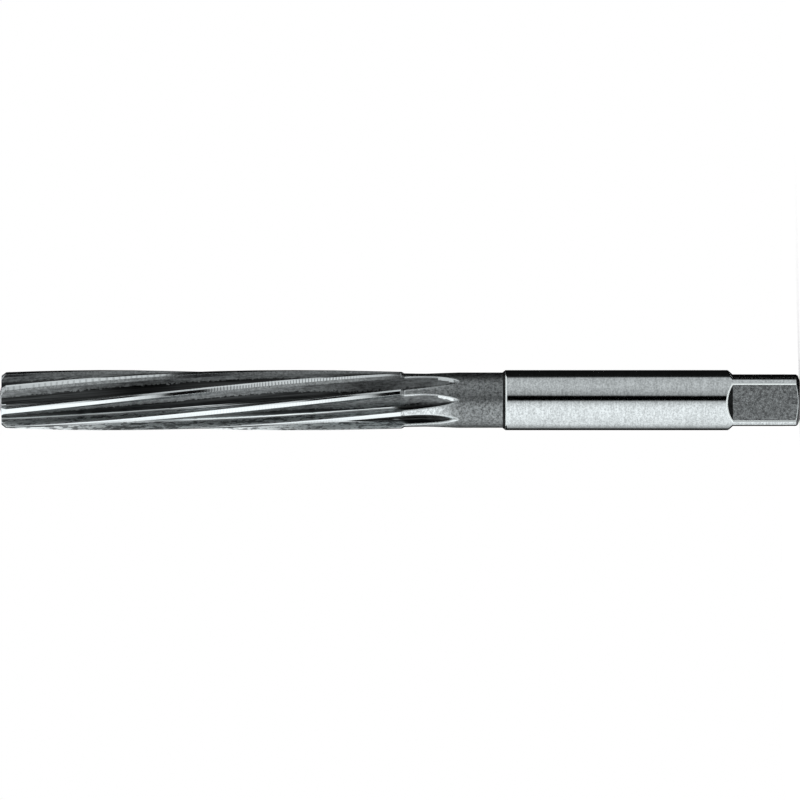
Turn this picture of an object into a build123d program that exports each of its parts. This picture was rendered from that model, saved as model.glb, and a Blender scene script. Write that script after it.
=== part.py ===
"""Hand reamer, 10 mm: eight left-hand spiral flutes, necked body, plain shank with a driving square.

The tool stands on its square end at z = 0 with the cutting end up and its axis on Z.
The driving flats face X and Y. Every dimension is in millimetres, every angle in degrees.
"""

import os
from math import degrees, sqrt

from build123d import *

os.makedirs("parts", exist_ok=True)

# Along the axis
overall_length = 133.0
fluted_length = 66.3  # front face to the end of the full diameter
lead_length = 16.3  # tapered entry, front face to the full diameter
bevel_length = 0.8
neck_length = 17.4  # end of the full diameter to the full shank
square_length = 11.15  # straight part of the driving square

# Across the axis
reamer_diameter = 10.0
lead_diameter = 9.77  # where the lead meets the 45 degree bevel
neck_diameter = 9.2
shank_diameter = 10.0
square_across_flats = 8.0

# Ends and steps
boss_diameter = 4.7  # low domed boss on the front face
boss_height = 0.41
body_chamfer_length = 0.6
shank_chamfer_length = 0.5
square_shoulder_length = 0.9
end_chamfer_length = 0.65
end_face_diameter = 6.3
centre_hole_diameter = 2.0
centre_sink_diameter = 4.25
centre_sink_angle = 60.0
centre_hole_depth = 4.0

# Teeth: the pattern of unequal spacings fills half a turn and repeats opposite
tooth_spacings = (42.0, 44.0, 46.0, 48.0)
first_edge_angle = -55.0  # edge behind the narrowest flute, at the front face
helix_pitch = 278.0
margin_width = 0.28
relief_width = 0.55
relief_angle = 13.5

# Flutes: radial face, rounded root, straight back, steep wall behind the land
flute_core_diameter = 6.7
flute_root_radius = 0.35
heel_wall_width = 0.55
heel_wall_angle = 65.0  # from the same line as the relief angle
milling_cutter_diameter = 70.0
cutter_lift_angle = 22.0  # lift direction, measured from the radial face
runout_stations = 6

# Clearance past a surface that a cutter has to leave
overshoot = 1.2

body_radius = reamer_diameter / 2
shank_radius = shank_diameter / 2
neck_radius = neck_diameter / 2
lead_radius = lead_diameter / 2
flute_core_radius = flute_core_diameter / 2
dome_radius = (boss_diameter**2 / 4 + boss_height**2) / (2 * boss_height)

front_face = overall_length - boss_height
bevel_bottom = front_face - bevel_length
lead_bottom = front_face - lead_length
body_bottom = front_face - fluted_length
neck_top = body_bottom - body_chamfer_length
shank_top = body_bottom - neck_length


def polar(radius, angle):
    """The point at a radius and angle in the section plane."""
    return Vector(radius, 0).rotate(Axis.Z, angle)


def station(height):
    """The section plane at a height, turned as the left-hand helix turns there."""
    return Plane.XY.offset(height).rotated(
        (0, 0, (front_face - height) * 360 / helix_pitch)
    )


def edge_radius(height):
    """Radius of the cutting edges at a height on the tapered lead."""
    taper = (body_radius - lead_radius) / (bevel_bottom - lead_bottom)
    return body_radius - (height - lead_bottom) * taper


def land_points(radius):
    """Margin end, heel, and foot of the heel's wall, of the land behind an edge on X."""
    margin_angle = degrees(margin_width / radius)
    margin_end = polar(radius, -margin_angle)
    heel = margin_end + polar(relief_width, -90 - margin_angle - relief_angle)
    foot = heel + polar(heel_wall_width, -90 - margin_angle - heel_wall_angle)
    return margin_end, heel, foot


def stretch(start, end, extra):
    """The point that lies a further length past the end of a line."""
    return end + (end - start).normalized() * extra


def turned_blank():
    """The reamer as it leaves the lathe, with its centre hole."""
    with BuildPart() as blank:
        with BuildSketch(Plane.XZ):
            with BuildLine():
                outline = Polyline(
                    (0, 0),
                    (end_face_diameter / 2, 0),
                    (shank_radius, end_chamfer_length),
                    (shank_radius, shank_top),
                    (neck_radius, shank_top + shank_chamfer_length),
                    (neck_radius, neck_top),
                    (body_radius, body_bottom),
                    (body_radius, lead_bottom),
                    (lead_radius, bevel_bottom),
                    (lead_radius - bevel_length, front_face),
                    (boss_diameter / 2, front_face),
                )
                dome = RadiusArc(outline @ 1, (0, overall_length), -dome_radius)
                Line(dome @ 1, outline @ 0)
            make_face()
        revolve(axis=Axis.Z)
        with Locations(blank.faces().sort_by(Axis.Z)[0]):
            CounterSinkHole(
                centre_hole_diameter / 2,
                centre_sink_diameter / 2,
                centre_hole_depth,
                centre_sink_angle,
            )
    return blank.part


def driving_flat():
    """The metal milled away in front of the flat that faces +X, with its sloping shoulder."""
    flat = square_across_flats / 2
    rise = shank_radius - flat
    slope = square_shoulder_length / rise
    with BuildPart() as cut:
        with BuildSketch(Plane.XZ):
            with BuildLine():
                Polyline(
                    (flat, -overshoot),
                    (flat, square_length),
                    (shank_radius + overshoot, square_length + slope * (rise + overshoot)),
                    (shank_radius + overshoot, -overshoot),
                    close=True,
                )
            make_face()
        extrude(amount=shank_radius, both=True)
    return cut.part


def flute_section(spacing):
    """Section of the flute ahead of an edge on X: radial face, rounded root, back, heel wall."""
    root = polar(flute_core_radius, 0)
    margin_end, heel, foot = (p.rotate(Axis.Z, spacing) for p in land_points(body_radius))
    outside = body_radius + overshoot
    with BuildSketch(mode=Mode.PRIVATE) as section:
        with BuildLine():
            Polyline(
                root,
                polar(outside, 0),
                polar(outside, spacing / 2),
                stretch(foot, heel, overshoot),
                foot,
                close=True,
            )
        make_face()
        fillet(section.vertices().sort_by_distance((0, 0, 0))[0], flute_root_radius)
    return section.sketch


def flute(spacing):
    """One helical flute, open at the front face and run out into the neck by a disc cutter."""
    section = flute_section(spacing)
    open_end = front_face + overshoot
    cutter_radius = milling_cutter_diameter / 2
    lift_out = neck_radius - flute_core_radius + flute_root_radius
    runout_length = sqrt(cutter_radius**2 - (cutter_radius - lift_out) ** 2)
    with BuildPart() as cut:
        with BuildLine() as axis:
            Line((0, 0, neck_top), (0, 0, open_end))
        with BuildLine(station(neck_top)) as guide:
            Helix(helix_pitch, open_end - neck_top, body_radius, lefthand=True)
        with BuildSketch(station(neck_top)):
            add(section)
        sweep(path=axis.line, binormal=guide.edge())
        for k in range(runout_stations + 1):
            drop = runout_length * k / runout_stations
            lift = cutter_radius - sqrt(cutter_radius**2 - drop**2)
            with BuildSketch(station(neck_top - drop)):
                with Locations(polar(lift, cutter_lift_angle)):
                    add(section)
        loft()
    return cut.part


def land_section(radius):
    """Section of the metal ground off behind the margin of an edge on X."""
    margin_end, heel, foot = land_points(radius)
    with BuildSketch(mode=Mode.PRIVATE) as section:
        with BuildLine():
            Polyline(
                stretch(heel, margin_end, overshoot),
                stretch(margin_end, heel, overshoot / 4),
                stretch(Vector(), heel, overshoot),
                close=True,
            )
        make_face()
    return section.sketch


def land_relief():
    """Relief of one land, parallel along the body and closing in with the lead."""
    open_end = front_face + overshoot
    with BuildPart() as cut:
        with BuildLine() as axis:
            Line((0, 0, neck_top), (0, 0, lead_bottom))
        with BuildLine(station(neck_top)) as guide:
            Helix(helix_pitch, lead_bottom - neck_top, body_radius, lefthand=True)
        with BuildSketch(station(neck_top)):
            add(land_section(body_radius))
        sweep(path=axis.line, binormal=guide.edge())
        with BuildLine() as lead_axis:
            Line((0, 0, lead_bottom), (0, 0, open_end))
        with BuildLine(station(lead_bottom)) as lead_guide:
            Helix(helix_pitch, open_end - lead_bottom, body_radius, lefthand=True)
        for height in (lead_bottom, open_end):
            with BuildSketch(station(height)):
                add(land_section(edge_radius(height)))
        sweep(path=lead_axis.line, binormal=lead_guide.edge(), multisection=True)
    return cut.part


edge_angles = [first_edge_angle + sum(tooth_spacings[:k]) for k in range(len(tooth_spacings))]

with BuildPart() as reamer:
    add(turned_blank())
    with PolarLocations(0, 4):
        add(driving_flat(), mode=Mode.SUBTRACT)
    for edge_angle, spacing in zip(edge_angles, tooth_spacings):
        with PolarLocations(0, 2, start_angle=edge_angle):
            add(flute(spacing), mode=Mode.SUBTRACT)
    for edge_angle in edge_angles:
        with PolarLocations(0, 2, start_angle=edge_angle):
            add(land_relief(), mode=Mode.SUBTRACT)

reamer.part.label = "reamer"
export_step(reamer.part, "parts/reamer.step")
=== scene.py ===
# %% [markdown]
# # Hand reamer
# A hand reamer is one bar of tool steel, turned, milled, hardened and ground. Its shape comes
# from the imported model, so this lesson is about finish and light: a plain steel shape looks like
# a toy until every part of it shows how it was cut. We load the model first, and note its size.

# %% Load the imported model
import math

import bpy
from mathutils import Matrix, Vector

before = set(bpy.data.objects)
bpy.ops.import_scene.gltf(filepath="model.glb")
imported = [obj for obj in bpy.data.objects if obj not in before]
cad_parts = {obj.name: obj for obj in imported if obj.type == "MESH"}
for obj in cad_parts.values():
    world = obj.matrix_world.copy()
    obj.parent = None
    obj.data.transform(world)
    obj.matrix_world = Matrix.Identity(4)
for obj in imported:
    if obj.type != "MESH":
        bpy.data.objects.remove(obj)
bpy.ops.object.select_all(action="DESELECT")
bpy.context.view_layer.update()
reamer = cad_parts["reamer"]

# %% [markdown]
# ## Heights and sizes
# The finishes change at the shoulders that the lathe and the grinding wheel left. We name those
# heights once, in millimetres above the end of the driving square, and let the materials use them.

# %% Heights and sizes in millimetres
MM = 1000.0  # millimetres in one Blender unit
SQUARE_TOP = 11.15
SHOULDER_TOP = 12.05
END_CHAMFER = 0.65
SHANK_TOP = 48.89
CHAMFER_TOP = 49.39
NECK_TOP = 65.69
BODY_BOTTOM = 66.29
LEAD_BOTTOM = 116.29
BEVEL_BOTTOM = 131.79
FRONT_FACE = 132.59
HELIX_PITCH = 278.0
BODY_RADIUS = 5.0
LEAD_RADIUS = 4.885
NECK_RADIUS = 4.6
HALF_SQUARE = 4.0
CLEAR = 0.02  # how far a mask's edge may blur past a shoulder
print("shank", round(SHANK_TOP - SHOULDER_TOP, 2), "mm")
print("neck", round(BODY_BOTTOM - SHANK_TOP, 2), "mm")

# %% [markdown]
# ## Camera
# The tool stands on its square end, and the photograph shows it lying with the tip at the left.
# So the camera looks level at the tool and is rolled a quarter turn. A very long lens from far
# away keeps both ends the same size, as in the photograph.

# %% Camera at the photograph's viewing angle
VIEW_TURN = math.radians(6.0)  # round the tool, from straight in front of one driving flat
VIEW_WIDTH = 0.13289  # metres of tool across the picture
CAMERA_DISTANCE = 4.0
CLIP_END = 20.0
SENSOR_WIDTH = 36.0
PICTURE_MIDDLE = 0.06641  # metres up the tool
PICTURE_LIFT = 0.000025  # metres from the tool's axis towards the top of the picture

towards_camera = Vector((math.sin(VIEW_TURN), -math.cos(VIEW_TURN), 0))
picture_up = Vector((math.cos(VIEW_TURN), math.sin(VIEW_TURN), 0))
picture_right = Vector((0, 0, -1))
picture_middle = Vector((0, 0, PICTURE_MIDDLE)) + picture_up * PICTURE_LIFT

camera_data = bpy.data.cameras.new("photo_camera")
camera_data.sensor_width = SENSOR_WIDTH
camera_data.lens = SENSOR_WIDTH * CAMERA_DISTANCE / VIEW_WIDTH
camera_data.clip_end = CLIP_END
camera = bpy.data.objects.new("photo_camera", camera_data)
bpy.context.scene.collection.objects.link(camera)
camera.matrix_world = Matrix.LocRotScale(
    picture_middle + towards_camera * CAMERA_DISTANCE,
    Matrix((picture_right, picture_up, towards_camera)).transposed(),
    None,
)
bpy.context.scene.camera = camera
bpy.context.scene.view_settings.view_transform = "Standard"
print("lens", round(camera_data.lens), "mm")

# %% [markdown]
# ## Wiring nodes
# Every material below is built from nodes. One short helper adds a node, sets its options and
# plugs its inputs in order, so that each recipe reads as a list of steps. The others are the
# small steps that come again and again: arithmetic, mixing two colours or two values, fading from
# 0 to 1 over a range, keeping only a band, and making and using a group.

# %% Helpers for nodes
def place(tree, kind, *values, output=0, **options):
    """Add a node, set its options and feed its inputs in order. None leaves an input as it is."""
    node = tree.nodes.new("ShaderNode" + kind)
    for option, value in options.items():
        setattr(node, option, value)
    for socket, value in zip(node.inputs, values):
        if isinstance(value, bpy.types.NodeSocket):
            tree.links.new(value, socket)
        elif value is not None:
            socket.default_value = value
    return node.outputs[output]


def sums(tree, operation, *values):
    """One step of arithmetic."""
    return place(tree, "Math", *values, operation=operation)


def mix_colours(tree, factor, first, second):
    """Blend from the first colour to the second."""
    node = tree.nodes.new("ShaderNodeMix")
    node.data_type = "RGBA"
    sockets = (node.inputs[0], node.inputs[6], node.inputs[7])
    for socket, value in zip(sockets, (factor, first, second)):
        if isinstance(value, bpy.types.NodeSocket):
            tree.links.new(value, socket)
        else:
            socket.default_value = value
    return node.outputs[2]


def mix_values(tree, factor, first, second):
    """Blend from the first value to the second."""
    return place(tree, "Mix", factor, None, first, second, data_type="FLOAT")


def fade(tree, value, start, end, low=0.0, high=1.0):
    """Go smoothly from low to high while the value goes from start to end."""
    return place(tree, "MapRange", value, start, end, low, high, interpolation_type="SMOOTHSTEP")


def band(tree, value, start, end, blur):
    """1 between start and end, 0 outside, with both ends blurred."""
    rise = fade(tree, value, start - blur, start + blur)
    fall = fade(tree, value, end - blur, end + blur, 1.0, 0.0)
    return sums(tree, "MULTIPLY", rise, fall)


def start_group(name, inputs, outputs):
    """Make a node group with named sockets. Returns its tree, its inputs and its exits."""
    tree = bpy.data.node_groups.new(name, "ShaderNodeTree")
    for label, kind, value in inputs:
        socket = tree.interface.new_socket(label, in_out="INPUT", socket_type=kind)
        if value is not None:
            socket.default_value = value
    for label, kind in outputs:
        tree.interface.new_socket(label, in_out="OUTPUT", socket_type=kind)
    return tree, tree.nodes.new("NodeGroupInput").outputs, tree.nodes.new("NodeGroupOutput").inputs


def use_group(tree, group, **values):
    """Put a group into a material with its own values. Returns its outputs by name."""
    node = tree.nodes.new("ShaderNodeGroup")
    node.node_tree = group
    for label, value in values.items():
        socket = node.inputs[label.replace("_", " ")]
        if isinstance(value, bpy.types.NodeSocket):
            tree.links.new(value, socket)
        else:
            socket.default_value = value
    return node.outputs


FLOAT, VECTOR = "NodeSocketFloat", "NodeSocketVector"
print("helpers ready")

# %% [markdown]
# ## Where a point is on the tool
# All the marks on a reamer follow its axis or its flutes. This group turns a point into workshop
# measures: the height up the tool, the distance from the axis, and the place seen with the helix
# unwound, where a flute runs straight. It also tells how far the surface faces outwards and
# forwards, which separates the round lands from the walls of the flutes, how deep a point lies
# inside the circle of the cutting edges, and on which side of the tool it is.

# %% Group: tool measures
measures, given, leave = start_group(
    "tool_measures",
    [("Position", VECTOR, None), ("Normal", VECTOR, None)],
    [
        ("Place", VECTOR),
        ("Unwound", VECTOR),
        ("Height", FLOAT),
        ("Radius", FLOAT),
        ("Outward", FLOAT),
        ("Forward", FLOAT),
        ("Depth", FLOAT),
        ("Round", FLOAT),
    ],
)
link = measures.links.new
place_mm = place(measures, "VectorMath", given["Position"], None, None, MM, operation="SCALE")
split = place(measures, "SeparateXYZ", place_mm).node.outputs
flat_place = place(measures, "CombineXYZ", split["X"], split["Y"], 0.0)
radius = place(measures, "VectorMath", flat_place, operation="LENGTH", output=1)
spoke = place(measures, "VectorMath", flat_place, operation="NORMALIZE")
ahead = place(measures, "VectorMath", (0, 0, 1), spoke, operation="CROSS_PRODUCT")
outward = place(measures, "VectorMath", given["Normal"], spoke, operation="DOT_PRODUCT", output=1)
forward = place(measures, "VectorMath", given["Normal"], ahead, operation="DOT_PRODUCT", output=1)
unwinding = sums(measures, "MULTIPLY", split["Z"], 2 * math.pi / HELIX_PITCH)
unwound = place(
    measures, "VectorRotate", place_mm, (0, 0, 0), None, unwinding, rotation_type="Z_AXIS"
)
edge_radius = place(
    measures, "MapRange", split["Z"], LEAD_BOTTOM, BEVEL_BOTTOM, BODY_RADIUS, LEAD_RADIUS
)
depth = sums(measures, "SUBTRACT", edge_radius, radius)
way_round = sums(measures, "ARCTAN2", split["Y"], split["X"])
for label, value in (
    ("Place", place_mm),
    ("Unwound", unwound),
    ("Height", split["Z"]),
    ("Radius", radius),
    ("Outward", outward),
    ("Forward", forward),
    ("Depth", depth),
    ("Round", way_round),
):
    link(value, leave[label])
print("tool_measures:", len(measures.nodes), "nodes")

# %% [markdown]
# ## Streaks of a grinding wheel
# A wheel or a cutter leaves fine lines along the way it went, some deeper than others. We make
# them from noise that is stretched along that way: one fine layer and one coarse layer. The group
# puts out one value, and the materials use it as a height for bump and to lighten the colour.

# %% Group: wheel streaks
streaks, given, leave = start_group(
    "wheel_streaks",
    [("Place", VECTOR, None), ("Across", VECTOR, (1, 1, 1)), ("Coarse Share", FLOAT, 0.4)],
    [("Streaks", FLOAT)],
)
stretched = place(streaks, "VectorMath", given["Place"], given["Across"], operation="MULTIPLY")
fine = place(streaks, "TexNoise", stretched, None, 1.0, 3.0, 0.6)
coarse = place(streaks, "TexNoise", stretched, None, 0.23, 2.0, 0.5)
mixed = mix_values(streaks, given["Coarse Share"], fine, coarse)
streaks.links.new(mixed, leave["Streaks"])
print("wheel_streaks:", len(streaks.nodes), "nodes")

# %% [markdown]
# ## Chatter on the lands
# The relief behind each cutting edge is ground by a small cup wheel that chatters a little. It
# leaves short marks across the land, at a nearly even spacing. A sine along the height gives the
# rhythm, and noise bends it and takes marks away, so that no two teeth look the same.

# %% Group: chatter marks
chatter, given, leave = start_group(
    "chatter_marks",
    [("Place", VECTOR, None), ("Spacing", FLOAT, 0.5), ("Missing", FLOAT, 0.5)],
    [("Marks", FLOAT)],
)
wander = place(chatter, "TexNoise", given["Place"], None, 0.15, 2.0, 0.5)
height = place(chatter, "SeparateXYZ", given["Place"]).node.outputs["Z"]
turns = sums(chatter, "DIVIDE", height, given["Spacing"])
bent = sums(chatter, "MULTIPLY_ADD", wander, 2.0, turns)
wave = sums(chatter, "SINE", sums(chatter, "MULTIPLY", bent, 2 * math.pi))
marks = fade(chatter, wave, 0.0, 0.9)
present = place(chatter, "TexNoise", given["Place"], None, 0.22, 2.0, 0.5)
kept = fade(chatter, sums(chatter, "SUBTRACT", present, given["Missing"]), 0.0, 0.1)
chatter.links.new(sums(chatter, "MULTIPLY", marks, kept), leave["Marks"])
print("chatter_marks:", len(chatter.nodes), "nodes")

# %% [markdown]
# ## Mottle of unground steel
# The neck and the driving flats are never ground after hardening. They keep a dull, blotchy grey
# skin. A picture of such a skin would repeat or stretch, so two sizes of noise make the blotches.

# %% Group: dull skin
skin, given, leave = start_group(
    "dull_skin",
    [("Place", VECTOR, None), ("Grain", FLOAT, 0.4)],
    [("Mottle", FLOAT)],
)
scaled = place(skin, "VectorMath", given["Place"], None, None, None, operation="SCALE")
skin.links.new(sums(skin, "DIVIDE", 1.0, given["Grain"]), scaled.node.inputs["Scale"])
blotches = place(skin, "TexNoise", scaled, None, 0.35, 2.0, 0.6)
grain = place(skin, "TexNoise", scaled, None, 1.0, 3.0, 0.7)
blotched = mix_values(skin, 0.6, blotches, grain)
skin.links.new(blotched, leave["Mottle"])
print("dull_skin:", len(skin.nodes), "nodes")

# %% [markdown]
# ## Tool steel
# One material covers the whole tool, because it is one piece of steel. Masks split it into the
# places a toolmaker would name. The lathe and the cylindrical grinder made the shank and the
# neck, a milling cutter the driving flats and the backs of the flutes, and a grinding wheel the
# cutting faces and the lands.

# %% Masks of the turned and milled places
steel = bpy.data.materials.new("tool_steel")
steel.use_nodes = True
tree = steel.node_tree
tree.nodes.clear()
coordinates = tree.nodes.new("ShaderNodeTexCoord").outputs
spot = use_group(tree, measures, Position=coordinates["Object"], Normal=coordinates["Normal"])
height, depth = spot["Height"], spot["Depth"]


def times(*masks):
    """Where all the masks are 1."""
    product = masks[0]
    for mask in masks[1:]:
        product = sums(tree, "MULTIPLY", product, mask)
    return product


def beyond(mask):
    """Where a mask is 0."""
    return sums(tree, "SUBTRACT", 1.0, mask)


below_shoulder = fade(tree, height, SHOULDER_TOP - CLEAR, SHOULDER_TOP + CLEAR, 1.0, 0.0)
inside_shank = fade(
    tree, spot["Radius"], BODY_RADIUS - 0.035, BODY_RADIUS - 0.015, 1.0, 0.0
)
milled_end = times(below_shoulder, inside_shank)
shoulder = times(milled_end, fade(tree, height, SQUARE_TOP - CLEAR, SQUARE_TOP + CLEAR))
neck_heights = band(tree, height, SHANK_TOP + CLEAR, BODY_BOTTOM, CLEAR)
on_neck_skin = fade(tree, spot["Radius"], NECK_RADIUS - 0.03, NECK_RADIUS - 0.01)
turned_neck = times(neck_heights, on_neck_skin)
in_chamfer = fade(tree, height, CHAMFER_TOP - 0.05, CHAMFER_TOP, 1.0, 0.0)
neck_chamfer = times(turned_neck, in_chamfer)
print("turned and milled places:", len(tree.nodes), "nodes")

# %% [markdown]
# The fluted end needs the direction of the surface as well. A land faces outwards and lies just
# under the cutting edge's circle. A cutting face looks forward, the way the tool turns, and the
# rest of the flute is its rounded root and its back.

# %% Masks of the fluted end
LAND_DEPTH = 0.14  # millimetres, where the ground land ends at its steep wall
RUN_OUT_SLANT = -2.3  # the cutter's way out rises as it gets deeper
RUN_OUT_HIGHLIGHT = (57.5, 60.1)  # heights of the painted highlight at the end of a run-out
SHEEN_TURN = math.radians(-92.0)  # a doubled angle, so that the painted sheen repeats half a turn on

above_neck = fade(tree, height, BODY_BOTTOM - 0.04, BODY_BOTTOM + CLEAR)
near_edge = fade(tree, depth, LAND_DEPTH - 0.01, LAND_DEPTH + 0.01, 1.0, 0.0)
land = times(above_neck, near_edge, fade(tree, spot["Outward"], 0.78, 0.9))
above_chamfer = fade(tree, height, CHAMFER_TOP, CHAMFER_TOP + 0.05)
flute = times(above_chamfer, beyond(turned_neck), beyond(land))
facing_ahead = fade(tree, spot["Forward"], 0.86, 0.97)
slanting = sums(tree, "MULTIPLY_ADD", depth, RUN_OUT_SLANT, height)
above_run_out = fade(tree, slanting, NECK_TOP - 3.0, NECK_TOP - 1.2)
cutting_face = times(flute, facing_ahead, above_run_out)
root = times(flute, fade(tree, spot["Forward"], -0.05, 0.15), beyond(facing_ahead), above_run_out)
rough_milled = times(flute, fade(tree, spot["Forward"], -0.15, 0.1), beyond(above_run_out))
heel_wall = times(flute, fade(tree, spot["Forward"], -0.78, -0.74, 1.0, 0.0))
tip = times(
    fade(tree, height, BEVEL_BOTTOM - CLEAR, BEVEL_BOTTOM + CLEAR),
    fade(tree, sums(tree, "ABSOLUTE", spot["Forward"]), 0.1, 0.2, 1.0, 0.0),
)
front_face = times(tip, fade(tree, height, FRONT_FACE - CLEAR, FRONT_FACE - CLEAR / 2))
ragged = place(tree, "TexNoise", spot["Unwound"], None, 2.0, 3.0, 0.7)
# painted highlight: a bright patch where the run-out rises towards the light
run_out = times(
    flute,
    band(tree, height, *RUN_OUT_HIGHLIGHT, 0.06),
    fade(tree, spot["Forward"], -0.2, -0.12, 1.0, 0.0),
    fade(tree, sums(tree, "MULTIPLY_ADD", ragged, 0.4, depth), 0.84, 0.9, 1.0, 0.0),
)
# painted reflection: these lines mark one side of the tool and the side opposite, which get
# brighter colour below as if they caught the light
twice_round = sums(tree, "MULTIPLY_ADD", spot["Round"], 2.0, SHEEN_TURN)
sheen_side = sums(tree, "COSINE", twice_round)
print("fluted end:", len(tree.nodes), "nodes")

# %% [markdown]
# The marks come from the groups, each with its own values. Round grinding runs round the shank,
# so its noise is short along the height and long round the tool. Marks in the flutes run the
# other way, along the unwound helix: long lines of about a centimetre, and short ones of about a
# millimetre. The chatter marks have the spacings of the real tool.

# %% Marks
LEAD_CHATTER = 1.0  # millimetres from mark to mark
BODY_CHATTER = 0.5

round_lines = use_group(
    tree, streaks, Place=spot["Place"], Across=(0.9, 0.9, 7.0), Coarse_Share=0.35
)["Streaks"]
satin = place(tree, "TexNoise", spot["Place"], None, 3.2, 3.0, 0.7)
long_lines = use_group(
    tree, streaks, Place=spot["Unwound"], Across=(5.5, 5.5, 0.1), Coarse_Share=0.4
)["Streaks"]
short_lines = use_group(
    tree, streaks, Place=spot["Unwound"], Across=(4.2, 4.2, 0.8), Coarse_Share=0.3
)["Streaks"]
blocks = use_group(
    tree, chatter, Place=spot["Unwound"], Spacing=LEAD_CHATTER, Missing=0.3
)["Marks"]
dashes = use_group(
    tree, chatter, Place=spot["Unwound"], Spacing=BODY_CHATTER, Missing=0.2
)["Marks"]
mottle = use_group(tree, skin, Place=spot["Place"], Grain=0.16)["Mottle"]
print("marks:", len(tree.nodes), "nodes")

# %% [markdown]
# A finish is a colour, a roughness and a bump height. We lay one finish over another through the
# masks, as a painter works, from the bright ground steel up to the small worn edges, which carry
# painted highlights. Steel is a metal, so its colour is the colour of its reflections: the ground
# places reflect most of the light with a faint cool tint, and the unground ones a quarter of it.

# %% Laying one finish over another
def steel_grey(level):
    """A cool grey of a given brightness."""
    return (level * 0.93, level, level * 1.02, 1.0)


def two_tone(value, dark, light):
    """A grey that follows one of the marks from dark to light."""
    return mix_colours(tree, fade(tree, value, 0.36, 0.64), steel_grey(dark), steel_grey(light))


def lay(below, mask, colour, roughness, relief):
    """Cover a finish with the next one where the mask is 1."""
    return (
        mix_colours(tree, mask, below[0], colour),
        mix_values(tree, mask, below[1], roughness),
        mix_values(tree, mask, below[2], relief),
    )


print("finishes are laid with", lay.__name__)

# %% [markdown]
# The shank was ground between centres, so fine lines run round it in a bright satin. Anisotropic
# shading could stretch its highlights, but the long cards of the studio wall already give the
# straight bands of real ground steel. So colour and roughness only have to follow the lines.

# %% Round ground steel: the shank
grinding = mix_values(tree, 0.55, round_lines, satin)
finish = (
    two_tone(grinding, 0.5, 0.94),
    sums(tree, "MULTIPLY_ADD", satin, 0.1, 0.03),
    sums(tree, "MULTIPLY", round_lines, 0.003),
)
print("shank:", len(tree.nodes), "nodes")

# %% [markdown]
# The back of a flute was milled before hardening and stays dull. Near the land the wheel has
# cleaned it, down to a ragged line, and below that it is nearly black. The cutting face and the
# root are ground, with lines along the flute. The roots on the sheen side and opposite it are
# bright with a painted reflection, which fades towards the tip, and the other roots stay dark.
# Near the neck the foot of one cutting face, and of the one opposite, is painted nearly black
# below a line that slants across the face: painted shade for the shadow of a rising root, while
# the model's flute keeps its full depth there.

# %% Flutes
CLEANED_DEEPER = 0.5  # millimetres more than elsewhere, on the backs next to the neck
CLEANED_HEIGHTS = (70.0, 88.0)  # over which that extra depth ends
ROOT_SHEEN_FADE = (98.0, 107.0)  # heights over which the painted sheen of the roots drops to about half
FOOT_SLOPE = 0.034  # how much deeper the line of the painted shade lies for each millimetre up
FOOT_START = -1.205  # the depth at which that line would meet height 0
FOOT_TURN = math.radians(35.0)  # doubled too, from the sheen side to the face with the painted shade at its foot
FOOT_TOP = (74.0, 76.5)  # heights over which the painted shade at the foot ends

into_run_out = sums(tree, "MAXIMUM", sums(tree, "SUBTRACT", NECK_TOP, height), 0.0)
lifted_depth = sums(tree, "MULTIPLY_ADD", into_run_out, 0.05, depth)
cleaned = fade(tree, height, *CLEANED_HEIGHTS, CLEANED_DEEPER, 0.0)
lifted_depth = sums(tree, "SUBTRACT", lifted_depth, cleaned)
deep = fade(tree, sums(tree, "MULTIPLY_ADD", ragged, 0.7, lifted_depth), 1.3, 1.4)
back_marks = mix_values(tree, 0.6, mottle, short_lines)
back_colour = mix_colours(
    tree, deep, two_tone(back_marks, 0.07, 0.28), two_tone(long_lines, 0.0, 0.06)
)
long_relief = sums(tree, "MULTIPLY", long_lines, 0.012)
finish = lay(
    finish, flute, back_colour, sums(tree, "MULTIPLY_ADD", deep, -0.1, 0.38), long_relief
)
face_marks = mix_values(tree, 0.75, long_lines, short_lines)
face_marks = sums(tree, "MULTIPLY_ADD", face_marks, 3.6, -1.21)
finish = lay(finish, cutting_face, two_tone(face_marks, 0.26, 1.0), 0.36, long_relief)
# painted reflection: roots on the sheen side and opposite it are bright, the others dark
painted_sheen = fade(tree, sheen_side, 0.05, 0.4)
painted_sheen_root = times(painted_sheen, fade(tree, height, *ROOT_SHEEN_FADE, 1.0, 0.45))
painted_root_sheen_colour = mix_colours(
    tree, painted_sheen_root, two_tone(long_lines, 0.01, 0.08), two_tone(long_lines, 0.4, 1.0)
)
finish = lay(finish, root, painted_root_sheen_colour, 0.14, long_relief)
foot_depth = sums(tree, "MULTIPLY_ADD", height, FOOT_SLOPE, FOOT_START)
one_face = sums(tree, "COSINE", sums(tree, "ADD", twice_round, FOOT_TURN))
# painted shade: the foot of one cutting face and of the face opposite is laid nearly black
painted_shade_foot = times(
    sums(tree, "MAXIMUM", cutting_face, root),
    fade(tree, height, *FOOT_TOP, 1.0, 0.0),
    fade(tree, one_face, 0.7, 0.8),
    fade(tree, sums(tree, "SUBTRACT", depth, foot_depth), 0.0, 0.06),
)
finish = lay(finish, painted_shade_foot, steel_grey(0.01), 0.14, long_relief)
finish = lay(finish, rough_milled, two_tone(long_lines, 0.0, 0.06), 0.3, long_relief)
finish = lay(finish, heel_wall, two_tone(mottle, 0.12, 0.32), 0.25, long_relief)
# painted highlight at the end of each run-out
finish = lay(finish, run_out, two_tone(mottle, 0.8, 1.0), 0.16, long_relief)
print("flutes:", len(tree.nodes), "nodes")

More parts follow.
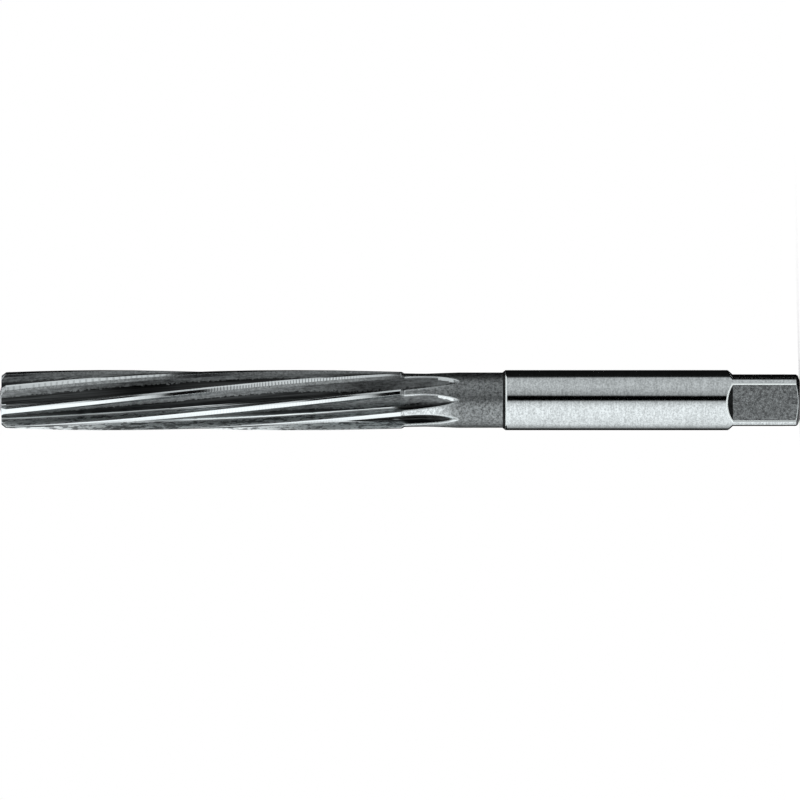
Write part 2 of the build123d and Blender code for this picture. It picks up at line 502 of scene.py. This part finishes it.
# %% [markdown]
# The lands are the brightest places, because they were ground last. The margin, just behind the
# edge, is bare. Behind it are the chatter marks, wide ones on the lead and fine ones along the
# body, which fade out before the neck. They are far too shallow to cut into the mesh, so a darker
# and rougher colour shows them. On the sheen side most marks are left out, a painted highlight
# that keeps those lands bright. The bevel at the tip and the turned front face come last, and the
# bevel is painted near white on the sheen side, a painted highlight too.

# %% Lands, bevel and front face
WIDE_CHATTER = (99.0, 103.0)  # heights over which fine marks give way to wide ones
FINE_CHATTER = (71.0, 79.0)  # heights over which the fine marks reach their full strength

margin = fade(tree, depth, 0.004, 0.012, 1.0, 0.0)
towards_tip = fade(tree, height, *WIDE_CHATTER)
# painted highlight: on the sheen side most chatter marks are left out
marks_left = fade(tree, sheen_side, -0.7, -0.45, 1.0, 0.12)
fine_marks = sums(tree, "MULTIPLY", dashes, fade(tree, height, *FINE_CHATTER, 0.05, 0.6))
marked = mix_values(tree, towards_tip, fine_marks, sums(tree, "MULTIPLY", blocks, 0.28))
marked = times(marked, marks_left, beyond(margin))
land_colour = mix_colours(tree, marked, steel_grey(0.98), steel_grey(0.05))
finish = lay(finish, land, land_colour, sums(tree, "MULTIPLY_ADD", marked, 0.1, 0.1), 0.0)
# painted highlight: the tip bevel is near white on the sheen side
painted_bevel_highlight = fade(tree, sheen_side, -0.6, 0.6)
bevel_colour = mix_colours(tree, painted_bevel_highlight, two_tone(satin, 0.2, 0.5), steel_grey(0.98))
finish = lay(finish, tip, bevel_colour, 0.2, 0.0)
rings = place(
    tree, "TexWave", spot["Place"], 0.5, 0.3, wave_type="RINGS", rings_direction="Z", output=1
)
turning = mix_values(tree, 0.14, satin, rings)
finish = lay(finish, front_face, two_tone(turning, 0.35, 0.7), 0.25, 0.0)
print("lands:", len(tree.nodes), "nodes")

# %% [markdown]
# The neck and the driving square were finished before hardening, and both stay dull. Between the
# run-outs the neck is painted bright, mostly on the sheen side: a painted highlight over the
# skin's own mottle. The shoulders of the square and the chamfer under the neck are painted nearly
# black, painted shade for the dark that these slopes reflect.

# %% Dull steel: the neck and the driving square
NECK_HIGHLIGHT_HEIGHTS = (56.5, 61.0)

dull_roughness = sums(tree, "MULTIPLY_ADD", mottle, 0.2, 0.28)
dull_relief = sums(tree, "MULTIPLY", mottle, 0.05)
finish = lay(finish, turned_neck, two_tone(mottle, 0.09, 0.44), dull_roughness, dull_relief)
# painted highlight on the neck between the run-outs, mostly on the sheen side
painted_neck_highlight = times(
    turned_neck, fade(tree, height, *NECK_HIGHLIGHT_HEIGHTS), fade(tree, sheen_side, -0.8, 0.6, 0.12, 1.0)
)
finish = lay(finish, painted_neck_highlight, two_tone(mottle, 0.45, 1.0), 0.14, dull_relief)
finish = lay(finish, milled_end, two_tone(mottle, 0.07, 0.42), 0.2, dull_relief)
# painted shade: the square's shoulders and the chamfer under the neck are laid nearly black
painted_dark_slopes = sums(tree, "MAXIMUM", shoulder, neck_chamfer)
finish = lay(finish, painted_dark_slopes, two_tone(mottle, 0.003, 0.03), dull_roughness, dull_relief)
print("dull steel:", len(tree.nodes), "nodes")

# %% [markdown]
# The milling cutter left a sharp lip round each run-out in the neck, and the last polish has
# rounded it, as it did the edge of the end chamfer. The Bevel node gives the direction that a
# rounded edge would have. Where that differs from the direction of the surface, there is an edge,
# and on these lips it gets a painted highlight, a near-white colour. The model's own shape is
# never changed here, so these edges stay a finish.

# %% Softened edges and painted highlights on the lips
SHARP_EDGE = 0.06  # millimetres, broken by the last polish
SOFT_EDGE = 0.45  # the lips of the run-outs
END_EDGE = 0.18  # the end chamfer

at_end = fade(tree, height, END_CHAMFER + 0.15, END_CHAMFER + 0.25, 1.0, 0.0)
softness = mix_values(tree, neck_heights, SHARP_EDGE / MM, SOFT_EDGE / MM)
softness = mix_values(tree, at_end, softness, END_EDGE / MM)
soft_edges = place(tree, "Bevel", softness, samples=6)
same_way = place(
    tree, "VectorMath", soft_edges, coordinates["Normal"], operation="DOT_PRODUCT", output=1
)
lip_heights = band(tree, height, SHANK_TOP + 1.0, NECK_TOP, 0.05)
near_skin = fade(tree, spot["Radius"], NECK_RADIUS - 0.3, NECK_RADIUS - 0.2)
end_heights = fade(tree, height, END_CHAMFER + 0.05, END_CHAMFER + 0.15, 1.0, 0.0)
lip_polish_and_highlight = times(
    fade(tree, same_way, 0.988, 0.998, 1.0, 0.0),
    sums(tree, "MAXIMUM", times(lip_heights, near_skin), end_heights),
    fade(tree, height, 0.0, 0.03),
)
# painted highlight: near-white colour on the lips and the end chamfer's edge, with polished
# roughness
finish = lay(finish, lip_polish_and_highlight, steel_grey(0.95), 0.12, 0.0)
print("lips:", len(tree.nodes), "nodes")

# %% [markdown]
# Handling polishes the sharp outside edges of the ground shank, where it meets the dull faces.
# These rims are a quarter of a millimetre wide; bump rounds them off, and a white colour on them
# is a painted highlight. A rim follows from the distance to the edge: to the flats of the square
# and their sloping shoulders, or to the neck.

# %% Worn rims with a painted highlight
RIM_WIDTH = 0.25
RIM_DROP = 1.6  # how strongly a rim rounds off

sides = place(tree, "VectorMath", spot["Place"], operation="ABSOLUTE")
across = place(tree, "SeparateXYZ", sides).node.outputs
widest = sums(tree, "MAXIMUM", across["X"], across["Y"])
slope = (BODY_RADIUS - HALF_SQUARE) / (SHOULDER_TOP - SQUARE_TOP)
rise = sums(tree, "MAXIMUM", sums(tree, "SUBTRACT", height, SQUARE_TOP), 0.0)
flat_edge = sums(tree, "MULTIPLY_ADD", rise, slope, HALF_SQUARE)
from_flat = sums(tree, "SUBTRACT", flat_edge, widest)
wider = fade(tree, height, SQUARE_TOP - 0.1, SQUARE_TOP + 0.1, 1.0, 0.7)
from_flat = sums(tree, "MULTIPLY", from_flat, wider)
from_neck = sums(tree, "SUBTRACT", SHANK_TOP, height)
below_neck = fade(tree, height, SHANK_TOP + CLEAR / 2, SHANK_TOP + CLEAR, 1.0, 0.0)
round_place = times(beyond(inside_shank), below_neck)
nearest = sums(tree, "MINIMUM", sums(tree, "ABSOLUTE", from_flat), from_neck)
worn_rim_and_highlight = times(round_place, fade(tree, nearest, RIM_WIDTH - 0.05, RIM_WIDTH, 1.0, 0.0))
into_rim = sums(tree, "MAXIMUM", sums(tree, "SUBTRACT", RIM_WIDTH, nearest), 0.0)
rounding = sums(tree, "MULTIPLY", sums(tree, "POWER", into_rim, 2.0), -RIM_DROP / RIM_WIDTH)
# painted highlight: the rims are laid white, beside their rounding and polish
finish = lay(finish, worn_rim_and_highlight, steel_grey(1.0), 0.1, rounding)
print("rims:", len(tree.nodes), "nodes")

# %% [markdown]
# The finished stack goes into one Principled shader. Bump turns the height into tilt, and its
# distance of a millimetre lets the heights above be read in millimetres.

# %% Shader
bump = tree.nodes.new("ShaderNodeBump")
bump.inputs["Strength"].default_value = 1.0
bump.inputs["Distance"].default_value = 1 / MM
tree.links.new(finish[2], bump.inputs["Height"])
tree.links.new(soft_edges, bump.inputs["Normal"])
metal = tree.nodes.new("ShaderNodeBsdfPrincipled")
metal.inputs["Metallic"].default_value = 1.0
tree.links.new(finish[0], metal.inputs["Base Color"])
tree.links.new(finish[1], metal.inputs["Roughness"])
tree.links.new(bump.outputs["Normal"], metal.inputs["Normal"])
steel_out = tree.nodes.new("ShaderNodeOutputMaterial")
tree.links.new(metal.outputs["BSDF"], steel_out.inputs["Surface"])
for slot in reamer.material_slots:
    slot.material = steel
print("tool_steel:", len(tree.nodes), "nodes, slots", len(reamer.material_slots))

# %% [markdown]
# ## Floor
# The tool stands on a plain pale floor. For the camera the floor adds a little light of its own,
# so that it meets the white background without a line, and still shows the tool's soft shadow.
# Light Path tells which kind of ray asks. The steel doesn't mirror this floor at all, because
# the studio wall of the next step stands for everything that the steel shows.

# %% Floor
FLOOR_RADIUS = 0.16
FLOOR_COLOUR = (0.86, 0.86, 0.86, 1.0)
FLOOR_GLOW = 0.16

bpy.ops.mesh.primitive_circle_add(vertices=96, radius=FLOOR_RADIUS, fill_type="NGON")
floor = bpy.context.object
floor.name = "floor"
paint = bpy.data.materials.new("pale_floor")
paint.use_nodes = True
tree = paint.node_tree
tree.nodes.clear()
ray = tree.nodes.new("ShaderNodeLightPath").outputs
seen = sums(tree, "MAXIMUM", ray["Is Camera Ray"], ray["Is Glossy Ray"])
seen = sums(tree, "MAXIMUM", seen, ray["Is Transmission Ray"])
matt = place(tree, "BsdfDiffuse", FLOOR_COLOUR)
glow = place(tree, "Emission", (1, 1, 1, 1), sums(tree, "MULTIPLY", seen, FLOOR_GLOW))
both = place(tree, "AddShader", matt, glow)
tree.links.new(both, tree.nodes.new("ShaderNodeOutputMaterial").inputs["Surface"])
floor.data.materials.append(paint)
floor.visible_glossy = False
print("floor radius", FLOOR_RADIUS, "m")

# %% [markdown]
# ## Light
# Polished steel shows its surroundings, so a photographer builds them: a white softbox at one
# side, a grey card at the other, and black cards between, which draw the dark lines along a
# cylinder. We stand one round wall about the tool, seen only by reflections, and paint those
# cards on it by angle. A mirror turns light by twice the angle of its surface, so a card that
# covers 90 degrees fills 45 degrees of the shank.

# %% Studio wall
WALL_RADIUS = 0.45
WALL_BOTTOM = -0.9
WALL_TOP = 0.35
WALL_CARDS = (  # degrees round the tool from the camera, brightness
    (-180, 0.30),
    (-174, 0.30),
    (-170, 0.005),
    (-142, 0.005),
    (-134, 0.30),
    (-126, 0.47),
    (-113, 0.72),
    (-104, 0.92),
    (-64, 1.06),
    (-30, 1.04),
    (-15, 0.84),
    (-7, 0.60),
    (-2.5, 0.30),
    (-1, 0.0),
    (16.5, 0.0),
    (19, 0.32),
    (24, 0.42),
    (35, 0.52),
    (57, 0.63),
    (80, 0.58),
    (94, 0.50),
    (98, 0.05),
    (106, 0.008),
    (178, 0.004),
    (180, 0.30),
)

bpy.ops.mesh.primitive_circle_add(
    vertices=128, radius=WALL_RADIUS, location=(0, 0, WALL_BOTTOM)
)
wall = bpy.context.object
wall.name = "studio_wall"
bpy.ops.object.mode_set(mode="EDIT")
bpy.ops.mesh.select_all(action="SELECT")
bpy.ops.mesh.extrude_region_move(
    TRANSFORM_OT_translate={"value": (0, 0, WALL_TOP - WALL_BOTTOM)}
)
bpy.ops.object.mode_set(mode="OBJECT")
bpy.ops.object.transform_apply(location=True)

card_paint = bpy.data.materials.new("studio_cards")
card_paint.use_nodes = True
tree = card_paint.node_tree
tree.nodes.clear()
here = place(tree, "SeparateXYZ", tree.nodes.new("ShaderNodeTexCoord").outputs["Object"]).node
start = math.atan2(towards_camera.y, towards_camera.x) - math.pi  # the ramp starts behind
angle = sums(tree, "ARCTAN2", here.outputs["Y"], here.outputs["X"])
turn = sums(tree, "DIVIDE", sums(tree, "SUBTRACT", angle, start), 2 * math.pi)
ramp = tree.nodes.new("ShaderNodeValToRGB")
tree.links.new(sums(tree, "FRACT", turn), ramp.inputs["Fac"])
stops = ramp.color_ramp.elements
while len(stops) < len(WALL_CARDS):
    stops.new(1.0)
for stop, (degrees_round, brightness) in zip(stops, WALL_CARDS):
    stop.position = degrees_round / 360 + 0.5
    stop.color = (brightness, brightness, brightness, 1)
glow = place(tree, "Emission", ramp.outputs["Color"], 1.0)
tree.links.new(glow, tree.nodes.new("ShaderNodeOutputMaterial").inputs["Surface"])
wall.data.materials.append(card_paint)

for kind in ("camera", "diffuse", "transmission", "volume_scatter", "shadow"):
    setattr(wall, "visible_" + kind, False)
print("studio wall with", len(WALL_CARDS), "steps of brightness")

# %% [markdown]
# The room itself is plain white. One large soft lamp above the camera's left gives the tool a
# soft shadow on the floor, and the world gives the rest of the light.

# %% World and lamp
ROOM_LIGHT = 0.8
LAMP_WATTS = 4.0
LAMP_SIZE = 0.5
LAMP_PLACE = (0.5, -0.4, 0.8)  # metres to the camera, to the picture's top, up the tool
LAMP_AIM = 0.05  # metres up the tool

world = bpy.data.worlds.new("white_room")
bpy.context.scene.world = world
world.use_nodes = True
tree = world.node_tree
tree.nodes.clear()
ray = tree.nodes.new("ShaderNodeLightPath").outputs
seen = sums(tree, "MAXIMUM", ray["Is Camera Ray"], ray["Is Glossy Ray"])
seen = sums(tree, "MAXIMUM", seen, ray["Is Transmission Ray"])
room_light = sums(tree, "MULTIPLY_ADD", seen, 1 - ROOM_LIGHT, ROOM_LIGHT)
room = place(tree, "Background", (1, 1, 1, 1), room_light)
tree.links.new(room, tree.nodes.new("ShaderNodeOutputWorld").inputs["Surface"])

lamp_data = bpy.data.lights.new("soft_lamp", "AREA")
lamp_data.shape = "DISK"
lamp_data.size = LAMP_SIZE
lamp_data.energy = LAMP_WATTS
lamp = bpy.data.objects.new("soft_lamp", lamp_data)
bpy.context.scene.collection.objects.link(lamp)
towards, upwards, along = LAMP_PLACE
lamp.location = towards_camera * towards + picture_up * upwards + Vector((0, 0, along))
lamp.rotation_mode = "QUATERNION"
lamp.rotation_quaternion = (Vector((0, 0, LAMP_AIM)) - lamp.location).to_track_quat("-Z", "Y")
lamp.visible_glossy = False
print("lamp", lamp_data.energy, "W")
